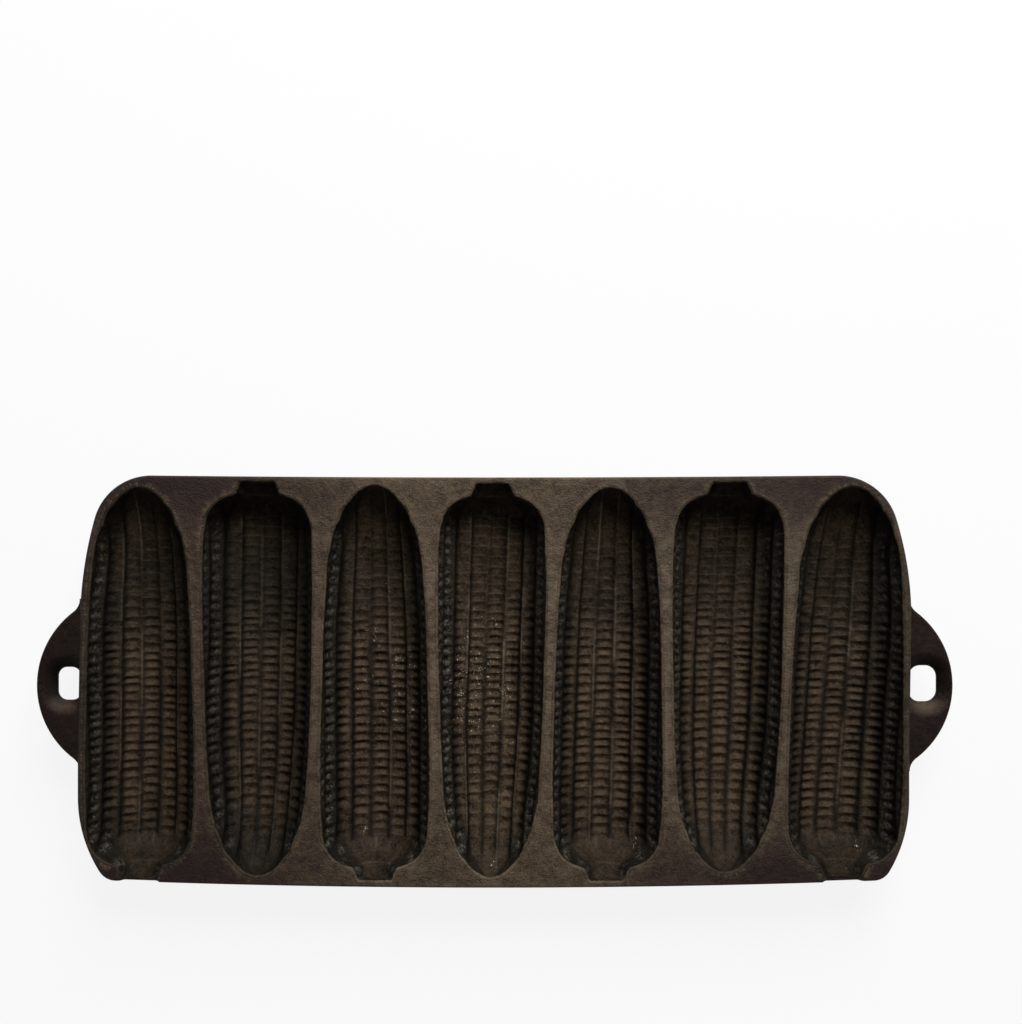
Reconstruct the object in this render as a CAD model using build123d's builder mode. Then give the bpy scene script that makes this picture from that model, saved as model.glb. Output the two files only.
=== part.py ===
from build123d import *
import math
import os

os.makedirs("parts", exist_ok=True)

# A cast iron pan for baking corn sticks. Seven moulds shaped like half an ear of corn hang
# under a flat deck, head to tail, and a lug with a hanging slot stands out at each end.
# +X runs along the row of moulds, +Y across it and +Z up. The origin is on the surface
# that the pan stands on, below the middle of its box. All lengths are in millimetres.

# Deck: the flat top plate, seen from above
deck_length = 306.4
deck_width = 152.2
deck_thickness = 3.8
deck_edge_round = 0.8
top_edge_dip = 0.9
bottom_edge_bow = 2.7
top_corner_radius = 19.0
bottom_corner_radius = 14.0
end_straight_above = 26.0
end_straight_below = 37.0
end_arc_radius_above = 105.0
end_arc_radius_below = 95.0

# Ear moulds: the first ear lies with its tip towards +Y, the next with its stalk there
ear_pitch = 43.3
ear_place_shares = (-3.025, -2.02, -1.028, -0.033, 0.96, 1.975, 3.01)
ear_radius = 19.8
ear_length = 144.2
ear_shift = 0.7
tip_to_widest = 108.0
tip_rounding = 37.0
tip_taper_share = 0.228
shoulder_length = 16.0
shoulder_taper_share = 0.1
shoulder_fullness = 3.0
stalk_length = 4.5
stalk_root_half_width = 7.95
stalk_end_half_width = 6.05
cup_wall = 3.8
cup_profile_shares = (0.012, 0.04, 0.1, 0.2, 0.35, 0.55, 0.75, 0.86, 0.92)
ear_facing_steps = 1000
seat_cut = 0.35

# Kernels: shallow dimples in rows along each mould, with thin ridges left between them
kernel_rows = 9
kernels_per_row = 36
kernel_depth = 0.9
first_kernel_from_tip = 6.2
last_kernel_from_stalk = 6.4
lip_rise = 2.0
tip_ring_shares = (0.06, 0.22, 0.5)
shoulder_ring_shares = (0.35, 0.65, 0.85, 0.96)

# Lugs: the half-round handles with their hanging slots
lug_reach = 15.9
lug_radius = 34.0
lug_place = -1.5
lug_thickness = 5.0
lug_drop = 0.8
lug_edge_round = 1.0
lug_root_radius = 6.0
slot_place = -1.3
slot_corner_radius = 2.0
slot_inset = 0.5
slot_flare_depth = 3.2
slot_flare_ends = 3.4
slot_flare_outside = 2.2
left_slot_width = 9.0
left_slot_length = 11.8
right_slot_width = 10.9
right_slot_length = 13.2

# How far a cutting shape reaches past the face that it cuts
overrun = 2.0

# Heights and places that follow from the sizes above
deck_top = ear_radius + cup_wall - seat_cut
deck_underside = deck_top - deck_thickness
deck_end = deck_length / 2
deck_edge = deck_width / 2
lug_top = deck_top - lug_drop
lug_underside = lug_top - lug_thickness
ear_tip = ear_length / 2 - ear_shift
ear_places = [share * ear_pitch for share in ear_place_shares]
stalk_root = ear_length - stalk_length
kernels_end = stalk_root - last_kernel_from_stalk
row_angle = 180 / kernel_rows


def ear_half_width(from_tip):
    """Half the ear's width: a round tip, a long taper, a full shoulder, then the stalk."""
    if from_tip >= stalk_root:
        along = (from_tip - stalk_root) / stalk_length
        return stalk_root_half_width + along * (stalk_end_half_width - stalk_root_half_width)
    if from_tip < tip_to_widest:
        taper = tip_taper_share * ((tip_to_widest - from_tip) / tip_to_widest) ** 2
    else:
        taper = shoulder_taper_share * ((from_tip - tip_to_widest) / (ear_length - tip_to_widest)) ** 2
    width = ear_radius * (1 - taper)
    if from_tip < tip_rounding:
        width *= math.sqrt(1 - (1 - from_tip / tip_rounding) ** 2)
    if stalk_root - from_tip < shoulder_length:
        slack = 1 - (stalk_root - from_tip) / shoulder_length
        width *= (1 - slack**shoulder_fullness) ** (1 / shoulder_fullness)
        width = max(width, stalk_root_half_width)
    return width


def skin_point(from_tip, angle, swell=0.0):
    """A point on the ear's half-round skin. The angle is from straight down, in degrees."""
    radius = ear_half_width(from_tip) + swell
    turn = math.radians(angle)
    return Vector(radius * math.sin(turn), ear_tip - from_tip, -radius * math.cos(turn))


def skin_ring(from_tip):
    """The corners of one ring of kernels, from lip to lip, with the ends raised past the lips."""
    half_width = ear_half_width(from_tip)
    inner = [skin_point(from_tip, row_angle * (row + 1) - 90) for row in range(kernel_rows - 1)]
    left_lip = Vector(-half_width, ear_tip - from_tip, lip_rise)
    right_lip = Vector(half_width, ear_tip - from_tip, lip_rise)
    return [left_lip, *inner, right_lip]


def panel(*corners):
    """A flat face through its corners."""
    return Face(Wire.make_polygon(corners))


def kernel(near, far, row, from_tip):
    """One kernel: four panels that meet at a crest a little proud of the skin."""
    corners = [near[row], near[row + 1], far[row + 1], far[row]]
    angle = row_angle * (row + 0.5) - 90
    swell = kernel_depth * ear_half_width(from_tip) / ear_radius
    crest = skin_point(from_tip, angle, swell)
    return [panel(a, b, crest) for a, b in zip(corners, corners[1:] + corners[:1])]


def plain_strip(near, far):
    """The smooth skin between two rings: flat panels, split in two beside the lips."""
    faces = []
    for row in range(kernel_rows):
        a, b, c, d = near[row], near[row + 1], far[row + 1], far[row]
        if row in (0, kernel_rows - 1):
            faces += [panel(a, b, c), panel(a, c, d)]
        else:
            faces.append(panel(a, b, c, d))
    return faces


def ear_skin():
    """Every face of one ear of corn, closed by a flat top above the deck."""
    pitch = (kernels_end - first_kernel_from_tip) / kernels_per_row
    kernel_places = [first_kernel_from_tip + pitch * n for n in range(kernels_per_row + 1)]
    tip_places = [first_kernel_from_tip * share for share in tip_ring_shares]
    shoulder_run = stalk_root - kernels_end
    shoulder_places = [kernels_end + shoulder_run * share for share in shoulder_ring_shares]
    places = tip_places + kernel_places + shoulder_places + [stalk_root, ear_length]
    rings = [skin_ring(place) for place in places]
    faces = []
    for near, far, start, end in zip(rings, rings[1:], places, places[1:]):
        middle = (start + end) / 2
        if first_kernel_from_tip < middle < kernels_end:
            for row in range(kernel_rows):
                faces += kernel(near, far, row, middle)
        else:
            faces += plain_strip(near, far)
        faces.append(panel(near[0], near[-1], far[-1], far[0]))
    tip_low = Vector(0, ear_tip, 0)
    tip_high = Vector(0, ear_tip, lip_rise)
    first = rings[0]
    faces += [panel(first[row], first[row + 1], tip_low) for row in range(kernel_rows)]
    faces += [panel(first[0], tip_low, tip_high), panel(first[-1], tip_low, tip_high)]
    faces.append(panel(first[0], first[-1], tip_high))
    faces.append(panel(*rings[-1]))
    return faces


# The ear itself, in its own frame: its axis lies along Y in the plane of the deck's top
with BuildPart() as ear:
    add(Solid(Shell(ear_skin())))


def wall_point(from_tip):
    """The point of the cup's outside that lies square across its wall from the ear's edge."""
    step = ear_length / ear_facing_steps
    slope = (ear_half_width(from_tip + step) - ear_half_width(from_tip - step)) / (2 * step)
    lean = cup_wall / math.hypot(1, slope)
    return (ear_half_width(from_tip) + lean, ear_tip - from_tip + slope * lean)


# The outside of one cup, in the same frame: the ear's profile, a wall thicker, turned round
with BuildSketch() as cup_profile:
    root = (stalk_root_half_width + cup_wall, ear_tip - stalk_root - cup_wall)
    end = (stalk_end_half_width + cup_wall, ear_tip - ear_length - cup_wall)
    with BuildLine():
        belly = [wall_point(ear_length * share) for share in cup_profile_shares]
        mirrored = [(-x, y) for x, y in reversed(belly)]
        Spline(*mirrored, (0, ear_tip + cup_wall), *belly)
        Polyline(belly[-1], root, end, (-end[0], end[1]), (-root[0], root[1]), mirrored[0])
    make_face()
    split(bisect_by=Plane.YZ, keep=Keep.TOP)
with BuildPart() as cup:
    add(cup_profile.sketch)
    revolve(axis=Axis.Y)
    split(bisect_by=Plane.XY.offset(-deck_thickness), keep=Keep.BOTTOM)
    split(bisect_by=Plane.XY.offset(-deck_top), keep=Keep.TOP)
    add(ear.part, clean=False, mode=Mode.SUBTRACT)


def ear_location(number):
    """Where an ear lies in the pan: odd ears point towards +Y, even ones are turned about."""
    turn = 0 if number % 2 else 180
    return Location((ear_places[number - 1], 0, deck_top), (0, 0, turn))


def field_side(number, next_number):
    """The plane between two neighbouring ears, or the end of the deck beyond the outer ones."""
    if not 1 <= next_number <= len(ear_places):
        return math.copysign(deck_end + overrun, next_number - number)
    return (ear_places[number - 1] + ear_places[next_number - 1]) / 2


# The deck's outline: a dipped top edge, a bowed bottom edge and two slightly crowned ends
with BuildSketch() as deck_outline:
    above = math.sqrt(end_arc_radius_above**2 - (deck_edge - end_straight_above) ** 2)
    top_end = deck_end - end_arc_radius_above + above
    bottom_corner_edge = bottom_edge_bow - deck_edge
    below = math.sqrt(end_arc_radius_below**2 - (-bottom_corner_edge - end_straight_below) ** 2)
    bottom_end = deck_end - end_arc_radius_below + below
    with BuildLine():
        ThreePointArc((-top_end, deck_edge), (0, deck_edge - top_edge_dip), (top_end, deck_edge))
        RadiusArc((top_end, deck_edge), (deck_end, end_straight_above), end_arc_radius_above)
        Line((deck_end, end_straight_above), (deck_end, -end_straight_below))
        RadiusArc((deck_end, -end_straight_below), (bottom_end, bottom_corner_edge), end_arc_radius_below)
        ThreePointArc((bottom_end, bottom_corner_edge), (0, -deck_edge), (-bottom_end, bottom_corner_edge))
        RadiusArc((-bottom_end, bottom_corner_edge), (-deck_end, -end_straight_below), end_arc_radius_below)
        Line((-deck_end, -end_straight_below), (-deck_end, end_straight_above))
        RadiusArc((-deck_end, end_straight_above), (-top_end, deck_edge), end_arc_radius_above)
    make_face()
    fillet(deck_outline.vertices().group_by(Axis.Y)[-1], radius=top_corner_radius)
    fillet(deck_outline.vertices().group_by(Axis.Y)[0], radius=bottom_corner_radius)

# The deck plate, with its top edge rounded and the seven ears sunk through it
ear_numbers = range(1, len(ear_places) + 1)
with BuildPart() as deck_plate:
    with BuildSketch(Plane.XY.offset(deck_underside)):
        add(deck_outline.sketch)
    extrude(amount=deck_thickness)
    fillet(deck_plate.faces().sort_by(Axis.Z)[-1].edges(), radius=deck_edge_round)
    with Locations(*[ear_location(number) for number in ear_numbers]):
        add(ear.part, clean=False, mode=Mode.SUBTRACT)
deck_plate.part.label = "deck_plate"
export_step(deck_plate.part, "parts/deck_plate.step")
print("deck", deck_plate.part.is_valid, round(deck_plate.part.volume), len(deck_plate.part.faces()))

# The cups: each ends on the planes between it and its neighbours, and at the deck's outline
for number in ear_numbers:
    with BuildPart() as ear_cup:
        with Locations(ear_location(number)):
            add(cup.part, clean=False)
        with BuildSketch():
            add(deck_outline.sketch)
            left = field_side(number, number - 1)
            right = field_side(number, number + 1)
            with Locations(((left + right) / 2, 0)):
                Rectangle(right - left, deck_width + overrun, mode=Mode.INTERSECT)
        extrude(amount=deck_underside + overrun, clean=False, mode=Mode.INTERSECT)
    ear_cup.part.label = f"ear_cup_{number}"
    export_step(ear_cup.part, f"parts/ear_cup_{number}.step")
    print("cup", number, ear_cup.part.is_valid, round(ear_cup.part.volume), len(ear_cup.part.faces()))

# The lugs: a rounded lobe run into a strip of the deck's end with hollow roots, then cut
# off at that end and pierced by its slot, which flares towards the top
strip_width = lug_radius - lug_reach
strip_length = 2 * (lug_radius + lug_root_radius)
flare_start = lug_top - slot_flare_depth
for side, name, slot_width, slot_length in (
    (-1, "left_handle", left_slot_width, left_slot_length),
    (1, "right_handle", right_slot_width, right_slot_length),
):
    slot_x = side * (deck_end + slot_inset + slot_width / 2)
    flare_x = slot_x + side * slot_flare_outside / 2
    with BuildPart() as lug:
        with BuildSketch(Plane.XY.offset(lug_underside)) as lobe:
            with Locations((side * (deck_end - strip_width), lug_place)):
                Circle(lug_radius)
            with Locations((side * (deck_end - strip_width / 2), lug_place)):
                Rectangle(strip_width, strip_length)
            roots = lobe.vertices().filter_by(
                lambda v: abs(v.X) > deck_end - lug_edge_round and abs(v.Y - lug_place) < lug_radius
            )
            fillet(roots, radius=lug_root_radius)
        extrude(amount=lug_thickness)
        flat_faces = lug.faces().filter_by(Axis.Z)
        fillet(flat_faces.edges(), radius=lug_edge_round)
        with BuildSketch(Plane.XY.offset(lug_underside - overrun)):
            with Locations((side * (deck_end - deck_length / 4), 0)):
                Rectangle(deck_length / 2, deck_width + strip_length)
        extrude(amount=lug_thickness + 2 * overrun, mode=Mode.SUBTRACT)
        with BuildSketch(Plane.XY.offset(lug_underside - overrun)):
            with Locations((slot_x, slot_place)):
                RectangleRounded(slot_width, slot_length, slot_corner_radius)
        extrude(amount=lug_thickness + 2 * overrun, mode=Mode.SUBTRACT)
        with BuildSketch(Plane.XY.offset(flare_start)):
            with Locations((slot_x, slot_place)):
                RectangleRounded(slot_width, slot_length, slot_corner_radius)
        with BuildSketch(Plane.XY.offset(lug_top)):
            with Locations((flare_x, slot_place)):
                RectangleRounded(
                    slot_width + slot_flare_outside,
                    slot_length + 2 * slot_flare_ends,
                    slot_corner_radius + slot_flare_outside,
                )
        loft(mode=Mode.SUBTRACT)
    lug.part.label = name
    export_step(lug.part, f"parts/{name}.step")
    print(name, lug.part.is_valid, round(lug.part.volume), len(lug.part.solids()), len(lug.part.faces()))
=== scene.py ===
import math

import bmesh
import bpy
import numpy as np
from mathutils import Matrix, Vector
from mathutils.geometry import delaunay_2d_cdt


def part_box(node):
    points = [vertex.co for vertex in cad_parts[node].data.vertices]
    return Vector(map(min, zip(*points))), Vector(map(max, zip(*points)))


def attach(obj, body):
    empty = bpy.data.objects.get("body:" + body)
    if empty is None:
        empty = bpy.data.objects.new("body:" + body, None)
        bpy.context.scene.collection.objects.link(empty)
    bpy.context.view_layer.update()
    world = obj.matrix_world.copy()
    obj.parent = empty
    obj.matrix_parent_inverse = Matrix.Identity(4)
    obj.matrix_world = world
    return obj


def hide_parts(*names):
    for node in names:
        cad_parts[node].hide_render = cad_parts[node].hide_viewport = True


# A cast iron pan for baking corn sticks: seven moulds shaped like half an ear of corn, head
# to tail under a flat deck, and a lug with a hanging slot at each end. Sizes are in
# millimetres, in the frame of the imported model, and each mesh is brought to metres as it is made.
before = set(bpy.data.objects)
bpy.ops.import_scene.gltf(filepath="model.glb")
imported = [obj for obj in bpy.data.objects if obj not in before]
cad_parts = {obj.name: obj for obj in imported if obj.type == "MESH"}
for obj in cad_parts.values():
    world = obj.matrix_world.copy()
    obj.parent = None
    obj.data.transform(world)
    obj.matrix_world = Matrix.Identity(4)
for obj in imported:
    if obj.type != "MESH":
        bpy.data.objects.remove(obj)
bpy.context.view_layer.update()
mm = 0.001

# Ear moulds: seven hollows with rows of kernels, cast in one with the deck, each with its own
# rounded lip. The iron is as the sand left it, black with baked-on oil, and rubbed paler on
# the ridges that a brush reaches. Shade is painted on its steep walls, beside its rows and
# towards its far end, and highlights and glints are painted on its kernels.
deck_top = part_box("deck_plate")[1].z / mm
deck_thickness = 3.8
deck_foot = deck_top - deck_thickness
ear_pitch = 43.3
ear_place_shares = (-3.025, -2.02, -1.028, -0.033, 0.96, 1.975, 3.01)
ear_places = [share * ear_pitch for share in ear_place_shares]
ear_numbers = range(1, len(ear_places) + 1)
ear_radius = 19.8
ear_length = 144.2
ear_tip = 71.4
tip_to_widest = 108.0
tip_rounding = 31.5
tip_taper = 0.228
shoulder_length = 16.0
shoulder_taper = 0.1
shoulder_fullness = 3.0
shoulder_flow = 6.0
stalk_length = 4.5
stalk_root = ear_length - stalk_length
stalk_root_half_width = 7.95
stalk_end_half_width = 6.05
stalk_flow = 3.0


def smooth_step(value, start, end):
    """0 before start, 1 after end, and a soft rise between."""
    share = np.clip((value - start) / (end - start), 0, 1)
    return share * share * (3 - 2 * share)


def half_width(from_tip):
    """Half the mould's width at each distance from its tip."""
    t = np.asarray(from_tip, float)
    to_widest = (tip_to_widest - t) / tip_to_widest
    past_widest = (t - tip_to_widest) / (ear_length - tip_to_widest)
    taper = np.where(t < tip_to_widest, tip_taper * to_widest**2, shoulder_taper * past_widest**2)
    tip = np.sqrt(np.clip(1 - (1 - np.minimum(t, tip_rounding) / tip_rounding) ** 2, 0, 1))
    slack = np.clip(1 - (stalk_root - t) / shoulder_length, 0, 1)
    body = ear_radius * (1 - taper) * tip * (1 - slack**shoulder_fullness) ** (1 / shoulder_fullness)
    along = (t - stalk_root) / stalk_length
    pocket = stalk_root_half_width + along * (stalk_end_half_width - stalk_root_half_width)
    pocket = pocket * smooth_step(t, stalk_root - shoulder_length, stalk_root - stalk_flow)
    return (body**shoulder_flow + pocket**shoulder_flow) ** (1 / shoulder_flow)


def evenly(points, spacing):
    """The same line with its points a steady step apart."""
    run = np.concatenate([[0], np.cumsum(np.hypot(*np.diff(points, axis=0).T))])
    steps = np.linspace(0, run[-1], max(2, round(run[-1] / spacing) + 1))
    return np.column_stack([np.interp(steps, run, points[:, axis]) for axis in (0, 1)])


def along_normals(ahead):
    """The normals on the left of the given directions."""
    ahead = ahead / np.hypot(*ahead.T)[:, None]
    return np.column_stack([-ahead[:, 1], ahead[:, 0]])


corner_softness = 0.45
bell_reach = 4
fine_spacing = 0.05
fine_samples = 6000
ring_spacing = 0.32
lip_round = 0.9
lip_clearance = 1.02


def softened(line, softness, spacing):
    """An even line with its corners rounded, its ends carried on as mirror images."""
    reach = int(bell_reach * softness / spacing)
    head = line[reach:0:-1] * (-1, 1)
    tail = line[-2 : -reach - 2 : -1] * (-1, 1)
    weights = np.exp(-0.5 * (np.arange(-reach, reach + 1) * spacing / softness) ** 2)
    weights = weights / weights.sum()
    longer = np.vstack([head, line, tail])
    return np.column_stack([np.convolve(longer[:, axis], weights, "valid") for axis in (0, 1)])


def mould_profile():
    """Half the mould's outline, from tip to the middle of its end wall, and its outward normals."""
    t = ear_length * np.linspace(0, 1, fine_samples) ** 2
    line = np.column_stack([half_width(t), t])
    line[0] = (0, 0)
    line = np.vstack([line, [(0, ear_length)]])
    line = evenly(softened(evenly(line, fine_spacing), corner_softness, fine_spacing), ring_spacing)
    normals = -along_normals(np.gradient(line, axis=0))
    first, last = np.flatnonzero(line[:, 0] > lip_round * lip_clearance)[[0, -1]]
    line, normals = line[first - 1 : last + 2].copy(), normals[first - 1 : last + 2].copy()
    line[[0, -1], 0] = lip_round
    normals[0], normals[-1] = (0, -1), (0, 1)
    return line, normals


profile, profile_normals = mould_profile()

# The kernels' rows, a little turned, twisted and spaced apart in each mould. Lengths run from
# the mould's tip, and angles, in degrees, from the middle of its floor.
row_angles = (22.4, 22.6, 22.1, 21.5, 22.6, 22.4, 23.2)
rows_turned = (-2.5, -3.6, 0.5, -2.2, -1.1, -2.8, 0.8)
rows_twisted = (-0.034, -0.055, 0.0, -0.08, -0.05, -0.1, -0.13)
row_narrowing = 0.78
row_opening = 60.0
row_sway = 0.7
row_sway_length = 19.0
rows_aside = 6
kernels_from_tip = (16.0, 9.0)
kernels_end = 133.4
kernel_pitch = 3.5
outer_pitch_gain = 0.6
outer_row = 4.0
pitch_swell = 0.1
pitch_swell_length = 140
pitch_spread = 0.09
start_spread = 2.0
depth_spread = 0.2
most_kernels = 60
kernel_seed = 100


def row_place(t, angle, width, number):
    """Each point's place across the rows: the whole part counts rows, the rest crosses one."""
    row_width = ear_radius * (row_narrowing + (1 - row_narrowing) * smooth_step(t, 0, row_opening))
    sine = width * np.sin(np.radians(angle)) / np.maximum(row_width, width)
    lean = np.degrees(np.arcsin(np.clip(sine, -1, 1)))
    sway = row_sway * np.sin(t / row_sway_length + number) * np.cos(np.radians(lean * 2) + number)
    turned = rows_turned[number - 1] + rows_twisted[number - 1] * (t - ear_length / 2)
    return (lean - turned + sway) / row_angles[number - 1] + 0.5


def kernel_place(t, row, first_kernel, draw):
    """Each point's place along its kernel, from -1 to 1, and how deep that kernel is."""
    along, depth = np.zeros_like(t), np.ones_like(t)
    for index in range(-rows_aside, rows_aside + 1):
        pitches = draw.normal(1, pitch_spread, most_kernels)
        start = draw.uniform(-start_spread, 0)
        depths = draw.normal(1, depth_spread, most_kernels + 2)
        here = row == index
        steady = kernel_pitch + outer_pitch_gain * (abs(index) / outer_row) ** 2
        middle = np.cumsum(np.concatenate([[0], pitches])) * steady
        swell = 1 + pitch_swell * np.cos(2 * math.pi * np.clip(middle / pitch_swell_length, 0, 1))
        stops = np.cumsum(np.concatenate([[0], pitches * steady * swell[:-1]]))
        place = np.interp(t[here], first_kernel + start + stops, np.arange(most_kernels + 1.0))
        count = np.floor(place)
        along[here] = 2 * (place - count) - 1
        depth[here] = depths[np.clip(count, 0, most_kernels + 1).astype(int)]
    return along, depth


# How the kernels stand out, what rubs and darkens them, and where shade and highlights are
# painted on them. A level is a share of a mould's length, from the pan's near edge up to its far
# one, and a slope is an angle from its floor. Wear, highlights, darkening and painted shade that
# change with either are a least share, and what is added at the most.
kernel_fullness = 2.0
kernel_crest = 0.22
row_fullness = 2.4
row_crest = 0.1
kernel_bed = 0.38
kernel_middle = 0.4
worn_bed = 0.86
worn_bed_levels = (0.55, 0.8)
tip_rows_run = (3.0, 9.0)
first_kernels_run = 6
last_kernels_run = (-2.5, 1.0)
dull_ridges = 0.45
ridge_wave = 9.0
ridge_turn = 2.3
ridge_rubbed = (-0.6, 0.2)
crest_thinness = 4.5
crest_wear_and_highlight = (0.45, 0.6)
crest_wear_and_highlight_levels = (0.35, 0.7)
rung_thinness = 5
rung_wear_and_highlight = (0.2, 0.35)
rung_wear_and_highlight_levels = (0.45, 0.7)
streak_turns = 20
streak_sharpness = 6
streaks_start = (131.5, 134)
streaks_end = (135, 138)
streak_slopes = (15, 32)
streak_wear = 0.6
root_wear = 0.5
root_line = 0.5
# Painted shade along the outer side of each row, wider on the steep walls.
groove_start = 0.3
groove_widening = 0.5
groove_widening_slopes = (25, 45)
groove_side = 0.85
groove_ridge = (0.93, 1.0)
groove_shade = (0.4, 0.55)
groove_slopes = (5, 32)
# Painted shade along the ridges between the rows, in each mould's near half, less on rubbed crests.
seam_shade = 0.85
seam_thinness = 1.8
seam_rubbed = 0.9
# A darkness of each mould's own.
mould_darkness = (0.26, 0.38, 0.13, 0.0, 0.15, 0.17, 0.25)
# Painted shade in a band towards each mould's far end.
far_shade = 0.4
far_shade_start = (0.52, 0.72)
far_shade_end = (0.78, 0.92)
# Darker towards each mould's near end.
near_end_darkening = 0.46
near_end_darkening_run = (0.82, 0.97)
# Painted shade on the steep walls.
wall_shade = 0.75
wall_shade_slopes = (36, 50)
darkness_over_wear = 0.5
# Painted highlights: grey on the inner sides of the kernels on the walls, less in darker moulds.
wall_highlight_slopes = (46, 58)
wall_highlight_lip_slopes = (80, 88)
wall_highlight_side = (-0.6, 0.3)
wall_highlight_most = 0.85
wall_highlight_under_darkness = 1.2


def rounded_ridge(offset, power, softness):
    """1 in the middle of a kernel and 0 on its ridge, whose crest is rounded."""
    within = 1 - np.abs(offset)
    within = np.sqrt(within**2 + softness**2) - softness
    return 1 - (1 - np.clip(within, 0, 1)) ** power


def rubbed_ridges(t, across, draw):
    """Which ridges between the rows are rubbed and painted with highlights, and along which stretches."""
    ridge = np.clip(np.floor(across + 0.5), -rows_aside, rows_aside).astype(int)
    rubbed_and_highlight = draw.uniform(size=2 * rows_aside + 1)[ridge + rows_aside] > dull_ridges
    return rubbed_and_highlight * smooth_step(np.sin(t / ridge_wave + ridge_turn * ridge), *ridge_rubbed)


def end_wear(t, angle, number):
    """The rubbed streaks past the last kernels, and the line where the stalk begins."""
    streaks = np.clip(np.sin(np.radians(angle * streak_turns) + number), 0, 1) ** streak_sharpness
    streaks = streaks * smooth_step(t, *streaks_start) * (1 - smooth_step(t, *streaks_end))
    root = np.clip(1 - np.abs(t - stalk_root) / root_line, 0, 1)
    return streak_wear * streaks * (1 - smooth_step(np.abs(angle), *streak_slopes)) + root_wear * root


def darkness_share(steepness, up, number):
    """A mould's darkness, more at its near end, with painted shade at its far end and on steep walls."""
    darkness = far_shade * smooth_step(up, *far_shade_start) * (1 - smooth_step(up, *far_shade_end))
    darkness = mould_darkness[number - 1] + darkness
    darkness += near_end_darkening * smooth_step(1 - up, *near_end_darkening_run)
    return darkness + (1 - darkness) * wall_shade * smooth_step(steepness, *wall_shade_slopes)


def kernel_marks(t, angle, width, number, up):
    """How deep the kernels sink, where the skin is paler with wear and painted highlights, and where painted
    shade darkens it.
    """
    draw = np.random.default_rng(kernel_seed + number)
    steepness = np.abs(angle)
    first_kernel = kernels_from_tip[(number + 1) % 2]
    across = row_place(t, angle, width, number)
    row = np.floor(across)
    beside = 2 * (across - row) - 1
    outward = np.sign(angle) * beside
    rubbed_and_highlight = rubbed_ridges(t, across, draw)
    along, depth = kernel_place(t, row, first_kernel, draw)
    side = rounded_ridge(beside, row_fullness, row_crest)
    cross = rounded_ridge(along, kernel_fullness, kernel_crest)

    past_tip = smooth_step(t, *tip_rows_run)
    past_first = smooth_step(t, first_kernel, first_kernel + first_kernels_run)
    before_stalk = 1 - smooth_step(t, kernels_end + last_kernels_run[0], kernels_end + last_kernels_run[1])
    bed = kernel_bed + (worn_bed - kernel_bed) * smooth_step(up, *worn_bed_levels)
    bed += (1 - bed) * (1 - past_first)
    relief = (side * (bed + (1 - bed) * cross * depth) - kernel_middle) * past_tip * before_stalk

    # Pale crests and rungs, from wear and painted highlight.
    crest = rubbed_and_highlight * np.clip(1 - side * crest_thinness, 0, 1)
    rungs = np.clip(1 - cross * rung_thinness, 0, 1) * past_first
    rungs = (rung_wear_and_highlight[0] + rung_wear_and_highlight[1] * smooth_step(up, *rung_wear_and_highlight_levels)) * rungs
    crests = crest * (crest_wear_and_highlight[0] + crest_wear_and_highlight[1] * smooth_step(up, *crest_wear_and_highlight_levels))
    worn = (crests + rungs) * before_stalk + end_wear(t, angle, number)
    worn *= np.clip(np.cos(np.radians(angle)), 0, 1) ** 2

    # Painted shade along the outer side of each row and along the ridges between the rows.
    start = groove_start - groove_widening * smooth_step(steepness, *groove_widening_slopes)
    groove = smooth_step(outward, start, groove_side) * (1 - smooth_step(outward, *groove_ridge))
    groove *= groove_shade[0] + groove_shade[1] * smooth_step(steepness, *groove_slopes)
    seams = seam_shade * np.clip(1 - side * seam_thinness, 0, 1) * (1 - smooth_step(up, *rung_wear_and_highlight_levels))
    seams *= 1 - seam_rubbed * crest
    kernelled = past_tip * before_stalk
    lines = (1 - groove * kernelled) * (1 - seams * kernelled)
    darkness = darkness_share(steepness, up, number)
    sunk = 1 - (1 - np.clip(darkness, 0, 1)) * lines

    # Painted highlights on the inner sides of the kernels on the walls.
    wall = smooth_step(steepness, *wall_highlight_slopes) * (1 - smooth_step(steepness, *wall_highlight_lip_slopes))
    ashen = wall * side * cross * smooth_step(-outward, *wall_highlight_side)
    ashen *= wall_highlight_most - wall_highlight_under_darkness * mould_darkness[number - 1]
    return relief, worn * (1 - darkness_over_wear * darkness), sunk, ashen


# A mould's skin: a sheet that runs from lip to lip at each place along the profile, uneven as
# sand casting leaves it, with the kernels sunk into it.
skin_columns = 132
kernel_depth = 1.5
skin_waves = (
    {"height": 0.07, "waves": 26, "shortest": 7, "longest": 22},
    {"height": 0.06, "waves": 60, "shortest": 1.5, "longest": 4},
    {"height": 0.035, "waves": 80, "shortest": 0.8, "longest": 1.5},
)
skin_seeds = 7
skin_end_fade = (0.8, 5)
skin_lip_fade = (80, 89)
skin_lip_calm = 0.85
lip_turns = np.linspace(0, math.pi / 2, 5)
lip_margin = 0.12
scallop_margin = 0.1
scallop_start = (2, 12)
scallop_end = (kernels_end, kernels_end + 4)
lip_worn = (0.1, 0.2, 0.4, 0.4, 0.25)
mould_tips = (71.2, 71.45, 72.1, 72.1, 71.2, 70.1, 71.4)
mould_ends = (72.4, 73.3, 73.25, 72.7, 73.4, 73.1, 71.9)
mould_breadths = (1.0, 1.015, 1.005, 0.995, 1.015, 1.03, 1.06)
mould_shifts = (0.0, 0.0, 0.28, 0.2, 0.3, 0.2, -0.3)
mould_leans = (0.0, 0.0, 0.0, 0.006, 0.01, 0.013, 0.024)


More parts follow.
